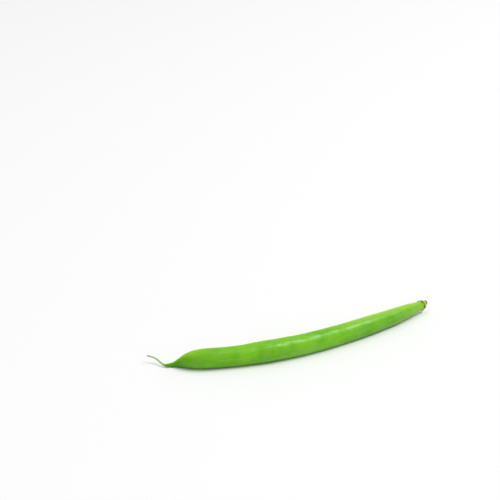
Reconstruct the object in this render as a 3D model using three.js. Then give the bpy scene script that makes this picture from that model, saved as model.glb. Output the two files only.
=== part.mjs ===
// A green bean: one closed pod with its beak, and the calyx and stalk stub at the other end.
// Units are millimetres, +Z is up and z = 0 is the surface that the bean lies on.
// The bean's chord runs along X, with the beak towards -X and the stalk towards +X. It bows towards -Y.
// Distances along the bean are counted from the tip of the beak.

import * as THREE from 'three';

// Length and bend
const POD_LENGTH = 140; // beak and pod together
const BEND_RADIUS = 161; // the bow of the pod, seen from above
const WANDER = { turn: 0.061, waves: 1.157, phase: 3.87 }; // slow turns off a plain bow, in radians
const NECK_LIFT = 1.7; // how far the stalk end rises off the surface
const NECK_LIFT_FROM = 92;

// Beak: [distance along the bean, turn off the bow in radians]
const BEAK_TURN = [
  [0, 0],
  [3, 0.3],
  [6, 0.78],
  [8.5, 0.68],
  [11, -0.17],
  [14, 0.04],
  [18, 0.2],
  [26, 0],
];

// Beak: [distance along the bean, height of its underside over the surface]
const BEAK_LIFT = [
  [0, 2.9],
  [3, 2.3],
  [6, 1.3],
  [9, 0.45],
  [12, 0.08],
  [15, 0],
];

// Girth: [distance along the bean, half its height there]. The first 8 mm are a dried thread.
const GIRTH = [
  [0, 0.31],
  [8.2, 0.42],
  [11, 0.78],
  [13, 1.05],
  [15, 1.68],
  [19.5, 3.2],
  [22, 3.74],
  [26, 4.07],
  [42, 4.17],
  [52, 4.48],
  [72, 4.3],
  [102, 3.98],
  [113, 3.67],
  [131, 2.75],
  [137, 2.12],
  [140, 1.82],
];

// Section: slightly longer from suture to suture than across the two cheeks
const OVAL = 0.028;
const SHOULDER = 0.012; // the cheeks are fuller towards the double suture
const FULL_SECTION = { from: 0.9, to: 3.4 }; // half heights over which sutures and seeds come in
const SUTURE_AT = 1.88; // angle of the single suture, from the horizontal on the -Y side, over the top
const SUTURE_TWIST = 0.34; // how far both sutures turn along the pod

// Sutures: one single ridge, and on the other side two ridges with a groove between them
const SINGLE_RIDGE = { height: 0.15, width: 0.34 };
const DOUBLE_RIDGE = { height: 0.17, width: 0.3, apart: 0.52 };
const GROOVE = { depth: 0.16, width: 0.28 };

// Seeds: eight low swellings on both cheeks, a little nearer to the double suture that bears them
const SEED = { count: 8, first: 28.5, last: 120, half: 5.2, height: 0.3, lean: 0.35, uneven: 0.2 };

// Ends: the tip rounds off over this length, and the neck's last ring is this much narrower
const TIP_ROUNDING = 0.8;
const NECK_END = 0.72;
const NECK_ROUNDING = 0.6;

// Rest: the underside is pressed flat where it meets the surface
const PRESS = 0.03;

// Calyx and stalk stub
const GAP = 0.3;
const CALYX = { length: 1.7, rim: 2.08, waist: 1.3, wall: 0.62, depth: 0.5 };
const TOOTH = { count: 5, length: 1.1, flare: 0.42, point: 1.6 };
const STUB = { length: 1.4, radius: 0.85, end: 1.0, bend: 0.15, lean: 0.4 };

// Fineness of the faces
const SIDE_STEPS = 10;
const RIDGE_ANGLES = [-15, -9, -4.6, 0, 4.6, 9, 15].map((a) => THREE.MathUtils.degToRad(a));
const WALK_STEP = 0.25;
const WALK_PAST = 9; // the middle line goes on this far, through the calyx and the stub
const TANGENT_REACH = 0.4;
const STALK_SIDES = 30;

const UP = new THREE.Vector3(0, 0, 1);

// A smooth value through [place, value] pairs, level at every peak and hollow, so that it never overshoots
function smoothThrough(pairs, at) {
  const last = pairs.length - 1;
  const slope = (i) => {
    if (i === 0 || i === last) {
      return 0;
    }
    const before = (pairs[i][1] - pairs[i - 1][1]) / (pairs[i][0] - pairs[i - 1][0]);
    const after = (pairs[i + 1][1] - pairs[i][1]) / (pairs[i + 1][0] - pairs[i][0]);
    return before * after > 0 ? (2 * before * after) / (before + after) : 0;
  };
  if (at <= pairs[0][0]) {
    return pairs[0][1];
  }
  if (at >= pairs[last][0]) {
    return pairs[last][1];
  }
  const i = pairs.findIndex(([place]) => place > at) - 1;
  const span = pairs[i + 1][0] - pairs[i][0];
  const t = (at - pairs[i][0]) / span;
  const rise = pairs[i + 1][1] - pairs[i][1];
  const start = slope(i) * span;
  const end = slope(i + 1) * span;
  return pairs[i][1] + t * (start + t * (3 * rise - 2 * start - end + t * (start + end - 2 * rise)));
}

const bump = (x, width) => Math.exp(-((x / width) ** 2));
const smoothstep = (x, from, to) => THREE.MathUtils.smoothstep(x, from, to);

// Heading of the middle line, seen from above: a plain arc, and the tighter turns of the beak
function headingAt(along) {
  const arc = (along - POD_LENGTH / 2) / BEND_RADIUS;
  const wander = WANDER.turn * Math.sin((along / POD_LENGTH) * WANDER.waves * 2 * Math.PI + WANDER.phase);
  return arc + wander - smoothThrough(BEAK_TURN, along);
}

// Height of the middle line: the pod lies on its underside, and both ends rise off the surface
function heightAt(along) {
  const rise = Math.max(0, (along - NECK_LIFT_FROM) / (POD_LENGTH - NECK_LIFT_FROM));
  return smoothThrough(GIRTH, along) - PRESS + smoothThrough(BEAK_LIFT, along) + NECK_LIFT * rise ** 2;
}

// The middle line is walked from the beak's tip past the end of the stalk
const WALK = [];
{
  const point = new THREE.Vector3();
  for (let along = 0; along <= POD_LENGTH + WALK_PAST; along += WALK_STEP) {
    WALK.push(new THREE.Vector3(point.x, point.y, heightAt(along)));
    const heading = headingAt(along + WALK_STEP / 2);
    point.x += Math.cos(heading) * WALK_STEP;
    point.y += Math.sin(heading) * WALK_STEP;
  }
}

function lineAt(along) {
  const place = THREE.MathUtils.clamp(along / WALK_STEP, 0, WALK.length - 1.001);
  const i = Math.floor(place);
  return WALK[i].clone().lerp(WALK[i + 1], place - i);
}

// Middle point, direction along, direction to the -Y side and direction over the top
function frameAt(along) {
  const centre = lineAt(along);
  const ahead = lineAt(along + TANGENT_REACH).sub(lineAt(along - TANGENT_REACH)).normalize();
  const side = ahead.clone().cross(UP).normalize();
  const top = side.clone().cross(ahead).normalize();
  return { centre, ahead, side, top };
}

const sutureAt = (along) => SUTURE_AT + SUTURE_TWIST * (along / POD_LENGTH - 0.5);

// How much the swelling of the seeds raises a cheek at one place
function seedSwell(along, round) {
  const spacing = (SEED.last - SEED.first) / (SEED.count - 1);
  let swell = 0;
  for (let i = 0; i < SEED.count; i += 1) {
    const size = 1 - SEED.uneven + SEED.uneven * Math.sin(2.4 * i + 0.7);
    swell += size * bump(along - SEED.first - spacing * i, SEED.half);
  }
  const cheek = Math.sin(round) ** 2 * (1 - SEED.lean * Math.cos(round));
  return SEED.height * swell * cheek;
}

// Distance of the skin from the middle line. round is counted from the single suture.
function skinAt(along, round) {
  const girth = smoothThrough(GIRTH, along);
  const full = smoothstep(girth, FULL_SECTION.from, FULL_SECTION.to);
  const across = Math.atan2(Math.sin(round), Math.cos(round)) * girth;
  const under = Math.atan2(-Math.sin(round), -Math.cos(round)) * girth;
  const single = SINGLE_RIDGE.height * bump(across, SINGLE_RIDGE.width);
  const halfApart = DOUBLE_RIDGE.apart / 2;
  const double = DOUBLE_RIDGE.height * Math.max(
    bump(under - halfApart, DOUBLE_RIDGE.width),
    bump(under + halfApart, DOUBLE_RIDGE.width),
  );
  const groove = GROOVE.depth * bump(under, GROOVE.width);
  const section = 1 + OVAL * Math.cos(2 * round) - SHOULDER * full * Math.cos(3 * round);
  return girth * section + full * (single + double - groove + seedSwell(along, round));
}

// One closed skin from rings of points, with a point to close each end. Faces point out.
function closedSkin(rings, first, last) {
  const sides = rings[0].length;
  const points = [first, ...rings.flat(), last];
  const faces = [];
  const at = (ring, side) => 1 + ring * sides + (side % sides);
  for (let side = 0; side < sides; side += 1) {
    faces.push(0, at(0, side), at(0, side + 1));
    for (let ring = 0; ring + 1 < rings.length; ring += 1) {
      faces.push(at(ring, side), at(ring + 1, side), at(ring, side + 1));
      faces.push(at(ring, side + 1), at(ring + 1, side), at(ring + 1, side + 1));
    }
    faces.push(points.length - 1, at(rings.length - 1, side + 1), at(rings.length - 1, side));
  }
  const geometry = new THREE.BufferGeometry();
  geometry.setAttribute('position', new THREE.Float32BufferAttribute(points.flatMap((p) => p.toArray()), 3));
  geometry.setIndex(faces);
  geometry.computeVertexNormals();
  return geometry;
}

// Angles round the pod: close together at the two sutures, even over the cheeks
function anglesRound() {
  const edge = RIDGE_ANGLES[RIDGE_ANGLES.length - 1];
  const cheek = Array.from({ length: SIDE_STEPS }, (_, i) => {
    return edge + ((Math.PI - 2 * edge) * (i + 1)) / (SIDE_STEPS + 1);
  });
  return [
    ...RIDGE_ANGLES,
    ...cheek,
    ...RIDGE_ANGLES.map((a) => a + Math.PI),
    ...cheek.map((a) => a + Math.PI),
  ];
}

// Places along the pod: close together where the beak flares into the body and where the ends round off
function stationsAlong() {
  // From, to, and the step between rings
  const spans = [
    [0.25, 1, 0.75],
    [1, 8, 1],
    [8, 27, 1.2],
    [27, 130, 2.3],
    [130, POD_LENGTH - NECK_ROUNDING, 1.8],
  ];
  const stations = [];
  for (const [from, to, step] of spans) {
    const count = Math.round((to - from) / step);
    for (let i = 0; i < count; i += 1) {
      stations.push(from + ((to - from) * i) / count);
    }
  }
  return [...stations, POD_LENGTH - NECK_ROUNDING, POD_LENGTH];
}

function pod() {
  const rounds = anglesRound();
  const ends = (along) => {
    const tip = Math.sqrt(THREE.MathUtils.clamp(along / TIP_ROUNDING, 0, 1));
    const neck = along === POD_LENGTH ? NECK_END : 1;
    return tip * neck;
  };
  const rings = stationsAlong().map((along) => {
    const { centre, side, top } = frameAt(along);
    return rounds.map((round) => {
      const angle = round + sutureAt(along);
      const reach = skinAt(along, round) * ends(along);
      const point = centre.clone();
      point.addScaledVector(side, Math.cos(angle) * reach);
      point.addScaledVector(top, Math.sin(angle) * reach);
      point.z = Math.max(0, point.z);
      return point;
    });
  });
  return closedSkin(rings, lineAt(0), lineAt(POD_LENGTH));
}

// The calyx cup opens towards the pod with five teeth, and the stalk stub leaves its back
function stalk() {
  const { centre, ahead, side, top } = frameAt(POD_LENGTH);
  const root = centre.clone().addScaledVector(ahead, GAP);
  const teeth = (angle) => Math.abs(Math.cos((angle * TOOTH.count) / 2)) ** TOOTH.point;
  const ringOf = (back, radius, toothed = 0, sway = 0) => {
    return Array.from({ length: STALK_SIDES }, (_, i) => {
      const angle = (i / STALK_SIDES) * 2 * Math.PI;
      const tooth = toothed * teeth(angle);
      const reach = radius + TOOTH.flare * tooth;
      const point = root.clone().addScaledVector(ahead, back - TOOTH.length * tooth);
      point.addScaledVector(side, Math.cos(angle) * reach - sway * STUB.lean);
      return point.addScaledVector(top, Math.sin(angle) * reach + sway);
    });
  };
  const cupBack = CALYX.length;
  const stubEnd = cupBack + STUB.length;
  const endSway = STUB.bend * 1.03;
  const rings = [
    ringOf(CALYX.depth, CALYX.rim - CALYX.wall, 0.55),
    ringOf(0.15, CALYX.rim - CALYX.wall * 0.55, 0.95),
    ringOf(0.1, CALYX.rim, 1),
    ringOf(0.75, CALYX.rim - 0.05, 0.4),
    ringOf(1.4, (CALYX.rim + CALYX.waist) / 2, 0.1),
    ringOf(cupBack, CALYX.waist),
    ringOf(cupBack + STUB.length * 0.25, STUB.radius, 0, STUB.bend * 0.2),
    ringOf(cupBack + STUB.length * 0.5, STUB.radius, 0, STUB.bend * 0.55),
    ringOf(cupBack + STUB.length * 0.72, STUB.end, 0, STUB.bend * 0.85),
    ringOf(cupBack + STUB.length * 0.9, STUB.end, 0, STUB.bend),
    ringOf(stubEnd, STUB.end * 0.78, 0, endSway),
  ];
  const first = root.clone().addScaledVector(ahead, CALYX.depth + 0.1);
  const last = root.clone().addScaledVector(ahead, stubEnd + 0.05);
  last.addScaledVector(top, endSway).addScaledVector(side, -STUB.lean * endSway);
  return closedSkin(rings, first, last);
}

const podSkin = new THREE.MeshStandardMaterial({ color: 0x78bf22, roughness: 0.42, metalness: 0 });
podSkin.name = 'pod_skin';
const stalkSkin = new THREE.MeshStandardMaterial({ color: 0x9a9440, roughness: 0.7, metalness: 0 });
stalkSkin.name = 'stalk_skin';

const podMesh = new THREE.Mesh(pod(), podSkin);
podMesh.name = 'pod';
const stalkMesh = new THREE.Mesh(stalk(), stalkSkin);
stalkMesh.name = 'stalk';

// The origin is the middle of the bean's box, at the surface it lies on, with its longest way along X
const bean = new THREE.Group();
bean.name = 'green_bean';
bean.add(podMesh, stalkMesh);
const box = new THREE.Box3().setFromObject(bean, true);
const middle = box.getCenter(new THREE.Vector3());
for (const mesh of [podMesh, stalkMesh]) {
  mesh.geometry.translate(-middle.x, -middle.y, -box.min.z);
}

export default bean;
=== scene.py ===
# %% [markdown]
# A green bean, lying on its side.
#
# On the real thing the pod, its thin beak and its neck are grown as one piece. The calyx, a small cup with
# short teeth, holds the neck, and behind it stands the stub of the stalk, dried where it was picked.
# The measured model gives the frame: its size, its place and what it stands on. Here each of its solids is
# replaced by a finer skin of the same form, made from the same few measures, and then gets its finish.

# %% The frame
import math

import bpy
import numpy as np
from mathutils import Matrix, Vector, noise


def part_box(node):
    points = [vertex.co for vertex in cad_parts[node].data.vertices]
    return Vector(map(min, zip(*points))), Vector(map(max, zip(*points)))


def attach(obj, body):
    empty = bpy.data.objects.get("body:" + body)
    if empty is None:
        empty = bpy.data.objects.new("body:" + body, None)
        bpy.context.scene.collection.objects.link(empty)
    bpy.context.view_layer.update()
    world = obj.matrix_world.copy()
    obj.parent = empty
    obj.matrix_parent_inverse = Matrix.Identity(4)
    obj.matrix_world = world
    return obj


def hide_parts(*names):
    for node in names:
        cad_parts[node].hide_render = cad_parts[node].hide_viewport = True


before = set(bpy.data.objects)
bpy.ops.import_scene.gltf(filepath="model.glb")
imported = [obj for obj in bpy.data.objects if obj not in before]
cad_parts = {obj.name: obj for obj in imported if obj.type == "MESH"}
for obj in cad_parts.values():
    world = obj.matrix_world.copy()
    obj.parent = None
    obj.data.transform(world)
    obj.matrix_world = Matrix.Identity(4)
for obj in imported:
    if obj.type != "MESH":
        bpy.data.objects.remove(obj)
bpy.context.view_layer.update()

MM = 0.001  # one millimetre in the scene's metres
print("frame nodes:", sorted(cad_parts))

# %% [markdown]
# The measures. A pod is told by very few of them: how long it is, how it bows, how thick it is at a number
# of places, where its two seams lie and where its seeds swell. Every distance is in millimetres, counted
# from the tip of the beak along the middle of the bean.

# %% Measures of the bean
POD_LENGTH = 140
BEND_RADIUS = 161
WANDER = {"turn": 0.061, "waves": 1.157, "phase": 3.87}
NECK_LIFT = 1.7
NECK_LIFT_FROM = 92

BEAK_TURN = [(0, 0), (3, 0.3), (6, 0.78), (8.5, 0.68), (11, -0.17), (14, 0.04), (18, 0.2), (26, 0)]
BEAK_LIFT = [(0, 2.9), (3, 2.3), (6, 1.3), (9, 0.45), (12, 0.08), (15, 0)]
GIRTH = [
    (0, 0.31), (8.2, 0.42), (11, 0.78), (13, 1.05), (15, 1.68), (19.5, 3.2), (22, 3.74), (26, 4.07),
    (42, 4.17), (52, 4.48), (72, 4.3), (102, 3.98), (113, 3.67), (131, 2.75), (137, 2.12), (140, 1.82),
]

OVAL = 0.028  # longer from seam to seam than across the cheeks
SHOULDER = 0.012  # fuller towards the double seam
FULL_SECTION = (0.9, 3.4)  # half thickness over which seams and seeds come in
SEAM_AT = 1.88
SEAM_TWIST = 0.34
SINGLE_RIDGE = {"height": 0.15, "width": 0.34}
DOUBLE_RIDGE = {"height": 0.17, "width": 0.3, "apart": 0.52}
GROOVE = {"depth": 0.16, "width": 0.28}
SEED = {"count": 8, "first": 28.5, "last": 120, "half": 5.2, "height": 0.3, "lean": 0.35, "uneven": 0.2}
PRESS = 0.03  # how far the underside is pressed flat
TIP_ROUNDING = 0.8

print(f"pod {POD_LENGTH} mm along its bow, {2 * max(g for _, g in GIRTH):.1f} mm thick")

# %% [markdown]
# Helpers for smooth shapes. A modeller could draw the pod's outline as a curve by hand. A formula is
# used here instead, because the same formula then also says how far each point is from a seam or a seed,
# which the colours need. The curve through the girths is level at each peak, so that it adds no bulges.

# %% Smooth curves through a few values
def smooth_through(pairs, at):
    """The value at each place, on a smooth curve through (place, value) pairs that never overshoots."""
    place, value = np.array(pairs, float).T
    slope = np.diff(value) / np.diff(place)
    before, after = slope[:-1], slope[1:]
    same_way = before * after > 0
    middle = np.where(same_way, 2 * before * after / np.where(same_way, before + after, 1), 0)
    slopes = np.concatenate([[0], middle, [0]])
    at = np.clip(at, place[0], place[-1])
    i = np.clip(np.searchsorted(place, at, "right") - 1, 0, len(place) - 2)
    span = place[i + 1] - place[i]
    t = (at - place[i]) / span
    rise = value[i + 1] - value[i]
    start, end = slopes[i] * span, slopes[i + 1] * span
    return value[i] + t * (start + t * (3 * rise - 2 * start - end + t * (start + end - 2 * rise)))


def smoothstep(x, start, end):
    t = np.clip((x - start) / (end - start), 0, 1)
    return t * t * (3 - 2 * t)


def bump(x, width):
    return np.exp(-((x / width) ** 2))


# %% [markdown]
# The middle line. The pod lies on its side, so its bow is seen from above, and its height is only its own
# half thickness, with both ends rising a little. A curve object could carry this, but walking the line in
# small steps from a heading keeps the real length, whatever the bow.

# %% The middle line of the bean
WALK_STEP = 0.25
WALK_PAST = 9  # the line goes on this far, through the calyx and the stub
TANGENT_REACH = 0.4


def heading_at(along):
    arc = (along - POD_LENGTH / 2) / BEND_RADIUS
    wander = WANDER["turn"] * np.sin(along / POD_LENGTH * WANDER["waves"] * 2 * math.pi + WANDER["phase"])
    return arc + wander - smooth_through(BEAK_TURN, along)


def height_at(along):
    rise = np.clip((along - NECK_LIFT_FROM) / (POD_LENGTH - NECK_LIFT_FROM), 0, None)
    return smooth_through(GIRTH, along) - PRESS + smooth_through(BEAK_LIFT, along) + NECK_LIFT * rise**2


walked = np.arange(0, POD_LENGTH + WALK_PAST, WALK_STEP)
headings = heading_at(walked + WALK_STEP / 2)
walk = np.stack([
    np.concatenate([[0], np.cumsum(np.cos(headings) * WALK_STEP)[:-1]]),
    np.concatenate([[0], np.cumsum(np.sin(headings) * WALK_STEP)[:-1]]),
    height_at(walked),
], axis=1)


def line_at(along):
    return np.stack([np.interp(along, walked, walk[:, i]) for i in range(3)], axis=-1)


def frame_at(along):
    """Middle point, direction along, direction to the side and direction over the top, at each place."""
    ahead = line_at(along + TANGENT_REACH) - line_at(along - TANGENT_REACH)
    ahead /= np.linalg.norm(ahead, axis=-1, keepdims=True)
    side = np.cross(ahead, [0, 0, 1.0])
    side /= np.linalg.norm(side, axis=-1, keepdims=True)
    return line_at(along), ahead, side, np.cross(side, ahead)


print(f"middle line from {walk[0].round(1)} to {line_at(POD_LENGTH).round(1)}")

# %% [markdown]
# The skin. Across the pod the skin is nearly round. One seam is a single fine ridge, the other two low
# ridges with a groove between them, and the seeds push the cheeks out a little between the seams. Sculpting
# would do this too, but not the same each time. On top comes what only a close look shows: shallow dents,
# spots where the skin is finely gathered, and ribs where it narrows towards the neck and the beak.

# %% Distance of the skin from the middle line
DENT = {"size": 8.5, "height": 0.12}
PUCKER = {"size": 2.2, "height": 0.024, "gathered": 0.075}
GATHERED_SIZE = 13  # how far apart the gathered spots lie
RIB = {"count": 9, "height": 0.05}


def seed_swell(along, cheek_turn):
    """How far each point is pushed out by the seeds under it, from 0 to about 1."""
    spacing = (SEED["last"] - SEED["first"]) / (SEED["count"] - 1)
    swell = 0
    for i in range(SEED["count"]):
        size = 1 - SEED["uneven"] + SEED["uneven"] * math.sin(2.4 * i + 0.7)
        swell = swell + size * bump(along - SEED["first"] - spacing * i, SEED["half"])
    return swell * np.sin(cheek_turn) ** 2 * (1 - SEED["lean"] * np.cos(cheek_turn))


def noise_at(places, size, shift=0):
    """Smooth noise with lumps of one size, at each place."""
    moved = Vector((shift, 0, 0))
    lumps = [noise.noise(Vector(p) / size + moved) for p in places.reshape(-1, 3)]
    return np.array(lumps).reshape(places.shape[:-1])


def fine_relief(along, turn, girth):
    """Dents and puckers from noise laid on the straightened pod, and ribs towards both ends."""
    places = np.stack(np.broadcast_arrays(along, girth * np.sin(turn), girth * np.cos(turn)), -1)
    dents = noise_at(places, DENT["size"])
    puckers = noise_at(places, PUCKER["size"])
    spots = noise_at(places, GATHERED_SIZE, shift=5)
    pucker_height = PUCKER["height"] + PUCKER["gathered"] * smoothstep(spots, 0.05, 0.4)
    ends = smoothstep(along, 126, 139) + 0.8 * (1 - smoothstep(along, 13, 22))
    ribs = RIB["height"] * ends * np.sin(RIB["count"] * turn + 0.4)
    return DENT["height"] * dents + pucker_height * puckers + ribs


def skin_at(along, turn):
    """Distance from the middle line. turn is the angle from the single seam."""
    girth = smooth_through(GIRTH, along)
    full = smoothstep(girth, *FULL_SECTION)
    from_single = np.arctan2(np.sin(turn), np.cos(turn)) * girth
    from_double = np.arctan2(-np.sin(turn), -np.cos(turn)) * girth
    single = SINGLE_RIDGE["height"] * bump(from_single, SINGLE_RIDGE["width"])
    half_apart = DOUBLE_RIDGE["apart"] / 2
    double = DOUBLE_RIDGE["height"] * np.maximum(
        bump(from_double - half_apart, DOUBLE_RIDGE["width"]),
        bump(from_double + half_apart, DOUBLE_RIDGE["width"]),
    )
    groove = GROOVE["depth"] * bump(from_double, GROOVE["width"])
    section = 1 + OVAL * np.cos(2 * turn) - SHOULDER * full * np.cos(3 * turn)
    seeds = SEED["height"] * seed_swell(along, turn)
    detail = fine_relief(along, turn, girth) * smoothstep(girth, 0.4, 2.5)
    return girth * section + full * (single + double - groove + seeds) + detail


# %% [markdown]
# Meshes from rings. Every piece of the bean is a closed skin over rings of points, so one function makes
# them all. It also stores measures on the points, which the finish reads: where each point would be on a
# straightened bean, and how much a seed lifts it.

# %% One closed mesh from rings of points
def skin_mesh(name, rings, first, last, measures):
    """A closed mesh over rings (ring, side, xyz) in millimetres, with a point to close each end."""
    count, sides = rings.shape[:2]
    points = np.concatenate([[first], rings.reshape(-1, 3), [last]]) * MM
    ring, side = np.meshgrid(np.arange(count - 1), np.arange(sides), indexing="ij")
    corner = 1 + ring * sides + side
    beside = 1 + ring * sides + (side + 1) % sides
    quads = np.stack([corner, corner + sides, beside + sides, beside], -1).reshape(-1, 4)
    around = np.arange(sides)
    nxt = (around + 1) % sides
    top = len(points) - 1
    caps = [(0, 1 + a, 1 + b) for a, b in zip(around, nxt)]
    caps += [(top, top - sides + b, top - sides + a) for a, b in zip(around, nxt)]
    mesh = bpy.data.meshes.new(name)
    mesh.from_pydata(points.tolist(), [], quads.tolist() + caps)
    mesh.shade_smooth()
    for key, values in measures.items():
        flat = np.concatenate([values[:1, 0], values.reshape(count * sides, -1).squeeze(), values[-1:, 0]])
        kind = "FLOAT_VECTOR" if flat.ndim == 2 else "FLOAT"
        layer = mesh.attributes.new(key, kind, "POINT")
        layer.data.foreach_set("vector" if flat.ndim == 2 else "value", flat.astype(np.float32).ravel())
    piece = bpy.data.objects.new(name, mesh)
    bpy.context.scene.collection.objects.link(piece)
    print(f"{name}: {len(mesh.vertices)} points, {len(mesh.polygons)} faces")
    return piece


# %% [markdown]
# The pod. It is grown in one piece from the tip of its beak to the neck, so it is one skin here too. A
# subdivided cage would round it well, but would smooth the seams away. So the rings are laid closely, and
# the points of each ring crowd together at the two seams, where the skin turns sharply.

# %% The pod
RING_STEP = 0.32
SIDES = 160
CROWDING = 0.6  # how much closer together the points are at the seams
NECK_IN_CALYX = 0.7  # how far the neck goes on into the calyx

rings_along = np.concatenate([
    [0.02, 0.08, 0.18],
    np.arange(RING_STEP, POD_LENGTH, RING_STEP),
    [POD_LENGTH, POD_LENGTH + NECK_IN_CALYX / 2, POD_LENGTH + NECK_IN_CALYX],
])[:, None]
even = np.linspace(0, 2 * math.pi, SIDES, endpoint=False)[None, :]
turns = even - CROWDING / 2 * np.sin(2 * even)
seam_angle = SEAM_AT + SEAM_TWIST * (rings_along / POD_LENGTH - 0.5)

reach = skin_at(rings_along, turns)
reach = reach * np.sqrt(np.clip(rings_along / TIP_ROUNDING, 0, 1))
centre, ahead, side, over = frame_at(rings_along[:, 0])
angle = turns + seam_angle
pod_rings = (
    centre[:, None]
    + side[:, None] * (np.cos(angle) * reach)[..., None]
    + over[:, None] * (np.sin(angle) * reach)[..., None]
)
pod_rings[..., 2] = np.maximum(pod_rings[..., 2], 0)
straightened = np.stack(np.broadcast_arrays(rings_along, reach * np.sin(turns), reach * np.cos(turns)), -1)
seed_lift = seed_swell(rings_along, turns) * smoothstep(rings_along, 18, 26)

# %% [markdown]
# The place. The measured model puts its origin in the middle of its box, on the surface. The new pod is
# moved by what sets its own box apart from the node's, along the two level ways only, so that it lies
# exactly where the solid lies.

# %% Laying the pod where its node lies
node_low, node_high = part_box("pod")
low, high = pod_rings.min((0, 1)), pod_rings.max((0, 1))
settle = np.array([
    node_low.x / MM - low[0],
    (node_low.y + node_high.y) / 2 / MM - (low[1] + high[1]) / 2,
    0,
])
pod = skin_mesh("pod_skin", pod_rings + settle, line_at(0) + settle, pod_rings[-1].mean(0) + settle, {
    "straight": straightened,
    "seed": seed_lift,
})
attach(pod, "root")
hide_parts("pod")
print("pod moved by", settle.round(2), "mm")

# %% [markdown]
# Shader maths. A finish is made of nodes, and a formula in nodes is hard to read. So a value that
# varies over the surface is wrapped in a small class, and ordinary sums on it add the Math nodes.
# Any other node comes from one method of the finish, which takes its type, its settings and its sockets.

# %% A value on the surface, and a finish
class Value:
    """An output socket that can be reckoned with."""

    def __init__(self, finish, socket):
        self.finish = finish
        self.socket = socket

    def math(self, operation, *terms, clamp=False):
        names = ("Value", "Value_001", "Value_002")
        settings = {"operation": operation, "use_clamp": clamp}
        return self.finish.node("ShaderNodeMath", settings, **dict(zip(names, terms)))

    def __add__(self, other):
        return self.math("ADD", self, other)

    __radd__ = __add__

    def __sub__(self, other):
        return self.math("SUBTRACT", self, other)

    def __rsub__(self, other):
        return self.math("SUBTRACT", other, self)

    def __mul__(self, other):
        return self.math("MULTIPLY", self, other)

    __rmul__ = __mul__

    def __truediv__(self, other):
        return self.math("DIVIDE", self, other)

    def __pow__(self, other):
        return self.math("POWER", self, other)

    def __neg__(self):
        return self.math("MULTIPLY", self, -1)

    def __abs__(self):
        return self.math("ABSOLUTE", self)

    def clamped(self):
        return self.math("ADD", self, 0, clamp=True)

    def hill(self, width):
        """1 where the value is 0, falling smoothly to nearly 0 at twice the width."""
        return self.math("POWER", math.e, -((self / width) ** 2))

    def step(self, start, end):
        """0 below start and 1 above end, or the other way round where end is the lower one."""
        low, high = (start, end) if start < end else (end, start)
        ends = {"To Min": 0.0, "To Max": 1.0} if start < end else {"To Min": 1.0, "To Max": 0.0}
        settings = {"interpolation_type": "SMOOTHSTEP"}
        return self.finish.node(
            "ShaderNodeMapRange", settings, Value=self, **{"From Min": low, "From Max": high}, **ends
        )

    def out(self, name):
        """Another output of the same node."""
        return Value(self.finish, self.socket.node.outputs[name])


class Finish:
    """The nodes of a material, or of the sky, in the making."""

    def __init__(self, owner, shader="Principled BSDF"):
        owner.use_nodes = True
        self.owner = owner
        self.tree = owner.node_tree
        self.shader = self.tree.nodes[shader]

    def feed(self, socket, value):
        if isinstance(value, Value):
            self.tree.links.new(value.socket, socket)
        elif socket.type == "RGBA" and len(value) == 3:
            socket.default_value = (*value, 1)
        else:
            socket.default_value = value

    def node(self, kind, settings=None, output=0, **sockets):
        """Adds a node. Its settings are set first, then its sockets get values or links."""
        node = self.tree.nodes.new(kind)
        for key, value in (settings or {}).items():
            setattr(node, key, value)
        known = {s.name: s for s in node.inputs} | {s.identifier: s for s in node.inputs}
        for key, value in sockets.items():
            self.feed(known[key], value)
        return Value(self, node.outputs[output])

    def stored(self, name, output="Fac"):
        return self.node("ShaderNodeAttribute", {"attribute_name": name}, output)

    def noise(self, place, scale, detail=2.0, roughness=0.5):
        return self.node("ShaderNodeTexNoise", Vector=place, Scale=scale, Detail=detail, Roughness=roughness)

    def stretched(self, place, stretch):
        settings = {"operation": "MULTIPLY"}
        return self.node("ShaderNodeVectorMath", settings, Vector=place, Vector_001=stretch)

    def blend(self, factor, colour, other, mode="MIX"):
        """colour where the factor is 0 and other where it is 1."""
        settings = {"data_type": "RGBA", "blend_type": mode, "clamp_factor": True}
        sockets = {"Factor_Float": factor, "A_Color": colour, "B_Color": other}
        return self.node("ShaderNodeMix", settings, "Result", **sockets)

    def bumps(self, height, distance, strength=1.0, normal=None):
        """Bumps from a height of 0 to 1 that stands distance millimetres high."""
        sockets = {"Height": height, "Distance": distance * MM, "Strength": strength}
        if normal is not None:
            sockets["Normal"] = normal
        return self.node("ShaderNodeBump", **sockets)

    def shine(self, **sockets):
        for key, value in sockets.items():
            self.feed(self.shader.inputs[key.replace("_", " ")], value)


# %% [markdown]
# The pod's skin. A fresh bean is satin, a full mid green, and not one flat green: it is clouded in paler and
# deeper patches, finely streaked along its length, and freckled with tiny pale dots. Both seams are drawn in
# a lighter yellow green. The same yellow green is spread wide round the single seam on the upper side, most
# near both ends, as a painted highlight. The underside of the stalk half is painted deeper green as painted
# shade, and so is the groove between the double seam's two ridges. The skin over each seed is a little
# paler, the neck is the palest part and the beak the deepest, and the thread at its tip has dried grey. Over
# it all lies a thin waxy bloom, which breaks the shine up into patches and is laid on as a coat.
# A painted image could carry all this, but it would stretch over the bow. So each feature is a mask
# worked out on the straightened bean, and the masks are laid over each other one by one.

# %% Finish of the pod
LEAF_GREEN = (0.148, 0.450, 0.0005)
# deeper patches and the beak, also used for the painted shade under the stalk half and in the groove
DEEP_AND_SHADE_GREEN = (0.056, 0.298, 0.0003)
PALE_GREEN = (0.250, 0.575, 0.005)
# the seams' own lime, also used for the painted highlight on the upper side
SEAM_AND_HIGHLIGHT_LIME = (0.370, 0.680, 0.010)
NECK_GREEN = (0.260, 0.525, 0.008)
THREAD_GREY = (0.380, 0.500, 0.260)
TIP_TAN = (0.300, 0.240, 0.060)
SCAR_TAN = (0.330, 0.290, 0.080)


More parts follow.
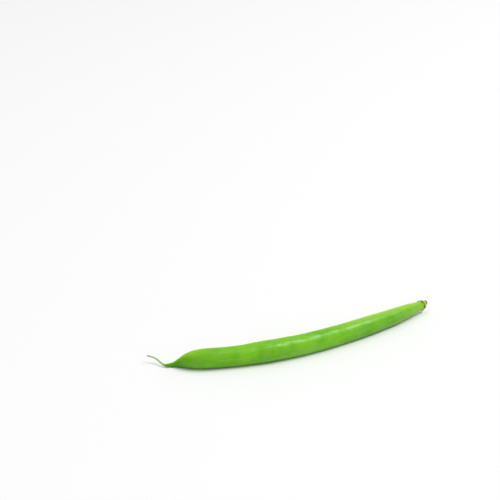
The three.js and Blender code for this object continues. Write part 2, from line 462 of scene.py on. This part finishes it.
def pod_finish():
    skin = Finish(bpy.data.materials.new("pod_skin"))
    place = skin.stored("straight", "Vector")
    apart = skin.node("ShaderNodeSeparateXYZ", Vector=place)
    along, across, upward = apart.out("X"), apart.out("Y"), apart.out("Z")

    clouds = skin.noise(place, 0.11, 3.0, 0.55).step(0.34, 0.68)
    mottle = skin.noise(place, 0.9, 3.0, 0.6).step(0.3, 0.72)
    streaks = skin.noise(skin.stretched(place, (0.07, 2.1, 2.1)), 1.0, 3.0, 0.6).step(0.33, 0.7)
    dots = skin.node("ShaderNodeTexVoronoi", Vector=skin.stretched(place, (1.5, 2.3, 2.3)), Scale=1.0)
    freckles = dots.step(0.2, 0.06) * skin.noise(place, 0.35).step(0.42, 0.6)

    single = across.hill(0.42) * upward.step(0.1, 0.6)
    double = (abs(across) - 0.34).hill(0.2) * upward.step(-0.1, -0.6)
    groove_shade = across.hill(0.16) * upward.step(-0.1, -0.6)
    seeds = (skin.stored("seed") * 0.75).clamped()
    beak = along.step(26.0, 9.0)
    thread = along.step(10.5, 7.5)
    tip = along.step(2.4, 0.3)
    neck = along.step(112.0, 139.0)
    stem_side = along.step(80.0, 112.0)
    upper = upward.step(0.3, 3.0)
    # painted highlight: the skin round the single seam on the upper side is lightened, most near both ends
    painted_highlight_flush = across.hill(3.0) * upper * (0.16 + 0.5 * (stem_side + along.step(31, 19)))

    colour = skin.blend(clouds * 0.55 + mottle * 0.32, LEAF_GREEN, DEEP_AND_SHADE_GREEN)
    colour = skin.blend(streaks * 0.27, colour, PALE_GREEN)
    colour = skin.blend(seeds * (0.25 + 0.3 * mottle), colour, PALE_GREEN)
    colour = skin.blend(freckles * 0.32, colour, PALE_GREEN)
    colour = skin.blend(beak * 0.9, colour, DEEP_AND_SHADE_GREEN)
    # painted shade: the underside of the stalk half is darkened
    colour = skin.blend(stem_side * (1 - upper) * 0.4, colour, DEEP_AND_SHADE_GREEN)
    colour = skin.blend(neck * (0.4 + 0.25 * streaks), colour, NECK_GREEN)
    # painted highlight laid on along the upper side
    colour = skin.blend(painted_highlight_flush, colour, SEAM_AND_HIGHLIGHT_LIME)
    colour = skin.blend(single * 0.62, colour, SEAM_AND_HIGHLIGHT_LIME)
    colour = skin.blend(double * 0.5, colour, SEAM_AND_HIGHLIGHT_LIME)
    # painted shade: the groove between the double seam's ridges is darkened
    colour = skin.blend(groove_shade * 0.45, colour, DEEP_AND_SHADE_GREEN)
    colour = skin.blend(thread * (0.75 + 0.25 * mottle), colour, THREAD_GREY)
    colour = skin.blend(tip * 0.8, colour, TIP_TAN)

    scars = skin.node("ShaderNodeTexVoronoi", Vector=skin.stretched(place, (0.1, 0.17, 0.17)), Scale=1.0)
    ragged = scars + 0.05 * skin.noise(place, 2.5, 3.0)
    colour = skin.blend(ragged.step(0.09, 0.055) * 0.5, colour, SCAR_TAN)

    fine = skin.noise(skin.stretched(place, (1.0, 2.2, 2.2)), 2.6, 3.0, 0.65)
    cells = skin.noise(place, 5.0, 2.0, 0.5)
    relief = skin.bumps(streaks * 0.6 + fine * 0.4, 0.035, 0.8)
    relief = skin.bumps(cells, 0.016, 0.7, relief)

    patches = skin.noise(skin.stretched(place, (0.7, 1.0, 1.0)), 0.42, 3.0, 0.6).step(0.34, 0.68)
    bloom = (0.04 + 0.66 * patches + 0.4 * stem_side * upper) * (1 - 0.9 * beak)
    skin.shine(
        Base_Color=colour,
        Roughness=0.34 + 0.1 * fine + 0.08 * freckles + 0.35 * thread,
        Normal=relief,
        Specular_IOR_Level=0.16,
        Coat_Weight=bloom,
        Coat_Roughness=0.34,
        Subsurface_Weight=0.15,
        Subsurface_Radius=(0.45, 1.0, 0.1),
        Subsurface_Scale=0.0012,
    )
    return skin.owner


pod.data.materials.append(pod_finish())
print("pod finish:", len(pod.data.materials[0].node_tree.nodes), "nodes")

# %% [markdown]
# The calyx and the stalk stub. The calyx is the small cup that held the flower. Its five short teeth lean on
# the pod's neck. Behind it is what is left of the stalk, ribbed, a little bent, and thicker where it broke
# from the plant. Both could be turned on a lathe, but the teeth and the bend make rings the simpler way.

# %% Rings of the calyx and the stub
CALYX = {"length": 1.7, "rim": 2.08, "waist": 1.3, "wall": 0.62, "depth": 0.5}
TOOTH = {"count": 5, "length": 1.1, "flare": 0.42, "point": 1.6}
STUB = {"length": 1.4, "radius": 0.85, "end": 1.0, "bend": 0.15, "lean": 0.4}
GAP = 0.3
STALK_SIDES = 150

stalk_centre, stalk_ahead, stalk_side, stalk_over = (v[0] for v in frame_at(np.array([float(POD_LENGTH)])))
stalk_root = stalk_centre + stalk_ahead * GAP + settle
stalk_turns = np.linspace(0, 2 * math.pi, STALK_SIDES, endpoint=False)


def stalk_rings(profile, steps, rib_height, rough):
    """Rings along a profile of (back, radius, tooth, sway) rows, smoothed, with ribs and roughness."""
    rows = np.array(profile, float)
    at = np.linspace(0, len(rows) - 1, steps)
    back, radius, tooth, sway = (smooth_through(list(enumerate(rows[:, i])), at)[:, None] for i in range(4))
    pointed = np.abs(np.cos(stalk_turns * TOOTH["count"] / 2)) ** TOOTH["point"]
    tooth = tooth * pointed[None, :]
    ribs = rib_height * np.cos(2 * TOOTH["count"] * stalk_turns)[None, :]
    out = radius + TOOTH["flare"] * tooth + ribs * np.clip(radius, 0, 1)
    behind = back - TOOTH["length"] * tooth
    grain = np.array([
        [noise.noise(Vector((b * 1.3, r * math.cos(t) * 1.8, r * math.sin(t) * 1.8))) for b, r, t in row]
        for row in np.stack(np.broadcast_arrays(behind, out, stalk_turns[None, :]), -1)
    ])
    out = out + rough * grain * np.clip(radius * 2, 0, 1)
    to_side = np.cos(stalk_turns)[None, :] * out - STUB["lean"] * sway
    to_top = np.sin(stalk_turns)[None, :] * out + sway
    rings = (
        stalk_root
        + stalk_ahead * behind[..., None]
        + stalk_side * to_side[..., None]
        + stalk_over * to_top[..., None]
    )
    straight = np.stack([behind, np.cos(stalk_turns)[None, :] * out, np.sin(stalk_turns)[None, :] * out], -1)
    return rings, straight, tooth


# %% The calyx
calyx_profile = [
    (CALYX["depth"] + 0.3, 0.9, 0.0, 0),
    (CALYX["depth"], 1.45, 0.45, 0),
    (0.2, 1.78, 0.9, 0),
    (0.12, 1.95, 1.0, 0),
    (0.22, 2.1, 0.93, 0),
    (0.75, CALYX["rim"] - 0.03, 0.4, 0),
    (1.4, (CALYX["rim"] + CALYX["waist"]) / 2, 0.1, 0),
    (CALYX["length"], CALYX["waist"], 0.0, 0),
    (CALYX["length"] + 0.25, 0.98, 0.0, 0),
    (CALYX["length"] + 0.2, 0.5, 0.0, 0),
]
rings, straight, tooth = stalk_rings(calyx_profile, 84, 0.035, 0.05)
measures = {"straight": straight, "tooth": tooth}
calyx = skin_mesh("calyx", rings, rings[0].mean(0), rings[-1].mean(0), measures)

# %% The stub of the stalk
stub_back, stub_end = CALYX["length"] - 0.2, CALYX["length"] + STUB["length"]
stub_profile = [
    (stub_back, 0.6, 0, 0),
    (stub_back + 0.1, 1.05, 0, 0),
    (stub_back + 0.45, STUB["radius"], 0, STUB["bend"] * 0.2),
    (stub_back + 0.8, STUB["radius"] * 0.98, 0, STUB["bend"] * 0.5),
    (stub_end - 0.5, STUB["end"] * 0.97, 0, STUB["bend"] * 0.85),
    (stub_end - 0.25, STUB["end"], 0, STUB["bend"] * 0.97),
    (stub_end - 0.02, STUB["end"] * 0.93, 0, STUB["bend"] * 1.02),
    (stub_end, STUB["end"] * 0.78, 0, STUB["bend"] * 1.03),
    (stub_end - 0.1, STUB["end"] * 0.5, 0, STUB["bend"] * 1.03),
    (stub_end - 0.16, STUB["end"] * 0.2, 0, STUB["bend"] * 1.03),
]
rings, straight, tooth = stalk_rings(stub_profile, 96, 0.05, 0.07)
stub = skin_mesh("stalk_stub", rings, rings[0].mean(0), rings[-1].mean(0), {"straight": straight})

for piece in (calyx, stub):
    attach(piece, "root")
    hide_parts("stalk")

# %% [markdown]
# The finish of the calyx and the stub. Both are drier than the pod: pale yellow green at the cup, going to
# olive on the stub, and tan to brown on the teeth's edges and on the broken end, where fibres show.

# %% Finishes of the calyx and the stub
CUP_GREEN = (0.260, 0.410, 0.028)
CUP_PALE = (0.420, 0.540, 0.110)
OLIVE = (0.170, 0.190, 0.028)
STUB_TAN = (0.330, 0.250, 0.070)
BROKEN_BROWN = (0.130, 0.075, 0.022)


def stalk_finish(name, browned):
    """browned takes the finish and the place along the stalk, and gives how brown each point is."""
    skin = Finish(bpy.data.materials.new(name))
    place = skin.stored("straight", "Vector")
    along = skin.node("ShaderNodeSeparateXYZ", Vector=place).out("X")
    fibres = skin.noise(skin.stretched(place, (0.6, 5.0, 5.0)), 1.0, 4.0, 0.65)
    patches = skin.noise(place, 1.1, 3.0, 0.6)
    brown = (browned(skin, along) + 0.5 * (patches - 0.5)).clamped()
    colour = skin.blend(patches.step(0.35, 0.65), CUP_GREEN, CUP_PALE)
    colour = skin.blend(brown.step(0.15, 0.5) * 0.9, colour, OLIVE)
    colour = skin.blend(brown.step(0.4, 0.75) * 0.9, colour, STUB_TAN)
    colour = skin.blend(brown.step(0.75, 0.98), colour, BROKEN_BROWN)
    colour = skin.blend(fibres.step(0.5, 0.75) * 0.3, colour, CUP_PALE)
    skin.shine(
        Base_Color=colour,
        Roughness=0.5 + 0.3 * fibres,
        Normal=skin.bumps(fibres, 0.12, 0.8),
        Sheen_Weight=0.1,
    )
    return skin.owner


calyx.data.materials.append(
    stalk_finish("calyx_skin", lambda skin, along: 0.15 + 0.75 * skin.stored("tooth") ** 2)
)
stub.data.materials.append(
    stalk_finish("stub_skin", lambda skin, along: along.step(1.5, stub_end) * 0.95 + 0.1)
)

# %% [markdown]
# The floor. Plain white paper, large enough that its edge is out of sight in most views. A curved paper
# sweep would hide the edge wholly, but a flat sheet keeps the bean's shadow plain to read.

# %% Floor
FLOOR_SIZE = 6.0
FLOOR_DROP = 0.02 * MM
half = FLOOR_SIZE / 2
floor_mesh = bpy.data.meshes.new("floor")
corners = [(-half, -half), (half, -half), (half, half), (-half, half)]
floor_mesh.from_pydata([(x, y, -FLOOR_DROP) for x, y in corners], [], [(0, 1, 2, 3)])
floor = bpy.data.objects.new("floor", floor_mesh)
bpy.context.scene.collection.objects.link(floor)
paper = Finish(bpy.data.materials.new("floor_white"))
paper.shine(Base_Color=(0.83, 0.834, 0.83), Roughness=0.8, Specular_IOR_Level=0.2)
floor_mesh.materials.append(paper.owner)

# %% [markdown]
# The light. One large soft lamp stands far off, high and to the right, so that it lights the floor evenly.
# A white sky, brightest overhead, fills in from all round: the shadows stay short and soft, and the lit
# side carries one long satin highlight. Low round the horizon the sky is a pale wall, for low views. An
# image of a room could light the bean too, but the room would show in its shine.

# %% Light
CAMERA_AZIMUTH = math.radians(-28.06)
to_camera = Vector((math.sin(CAMERA_AZIMUTH), -math.cos(CAMERA_AZIMUTH), 0))
rightward = Vector((math.cos(CAMERA_AZIMUTH), math.sin(CAMERA_AZIMUTH), 0))

KEY = {"right": 1.7, "height": 2.45, "size": (1.8, 0.8), "power": 50.0}
SKY = {"wall": 0.95, "low": 0.60, "high": 1.2}

key_place = rightward * KEY["right"] + Vector((0, 0, KEY["height"]))
lamp = bpy.data.lights.new("key_lamp", "AREA")
lamp.shape = "RECTANGLE"
lamp.size, lamp.size_y = KEY["size"]
lamp.energy = KEY["power"]
key = bpy.data.objects.new("key_lamp", lamp)
key.matrix_world = Matrix.Translation(key_place) @ key_place.to_track_quat("Z", "Y").to_matrix().to_4x4()
bpy.context.scene.collection.objects.link(key)

room = Finish(bpy.data.worlds.new("white_room"), "Background")
direction = room.node("ShaderNodeTexCoord", None, "Generated")
height = room.node("ShaderNodeSeparateXYZ", None, "Z", Vector=direction)
wall = height.step(0.16, 0.07) * (SKY["wall"] - SKY["low"])
ceiling = height.step(0.7, 1.0) * (SKY["high"] - SKY["low"])
room.shine(Color=(1, 1, 1), Strength=SKY["low"] + wall + ceiling)
bpy.context.scene.world = room.owner
bpy.context.scene.view_settings.view_transform = "Standard"

# %% [markdown]
# The camera looks down on the bean at rather more than a quarter of a right angle, from the beak's side.
# Its lens is long, so that the far end is hardly smaller than the near one. It is aimed past the bean,
# which puts the bean low in the picture.

# %% Camera
CAMERA_RISE = math.radians(25)
CAMERA_DISTANCE = 0.6
LENS = 100.05
AIM = Vector((28.07, 111.65, 0)) * MM

camera_data = bpy.data.cameras.new("camera")
camera_data.lens = LENS
camera_data.sensor_width = 36
camera = bpy.data.objects.new("camera", camera_data)
eye = CAMERA_DISTANCE * (to_camera * math.cos(CAMERA_RISE) + Vector((0, 0, math.sin(CAMERA_RISE))))
camera.matrix_world = Matrix.Translation(eye) @ (eye - AIM).to_track_quat("Z", "Y").to_matrix().to_4x4()
bpy.context.scene.collection.objects.link(camera)
bpy.context.scene.camera = camera
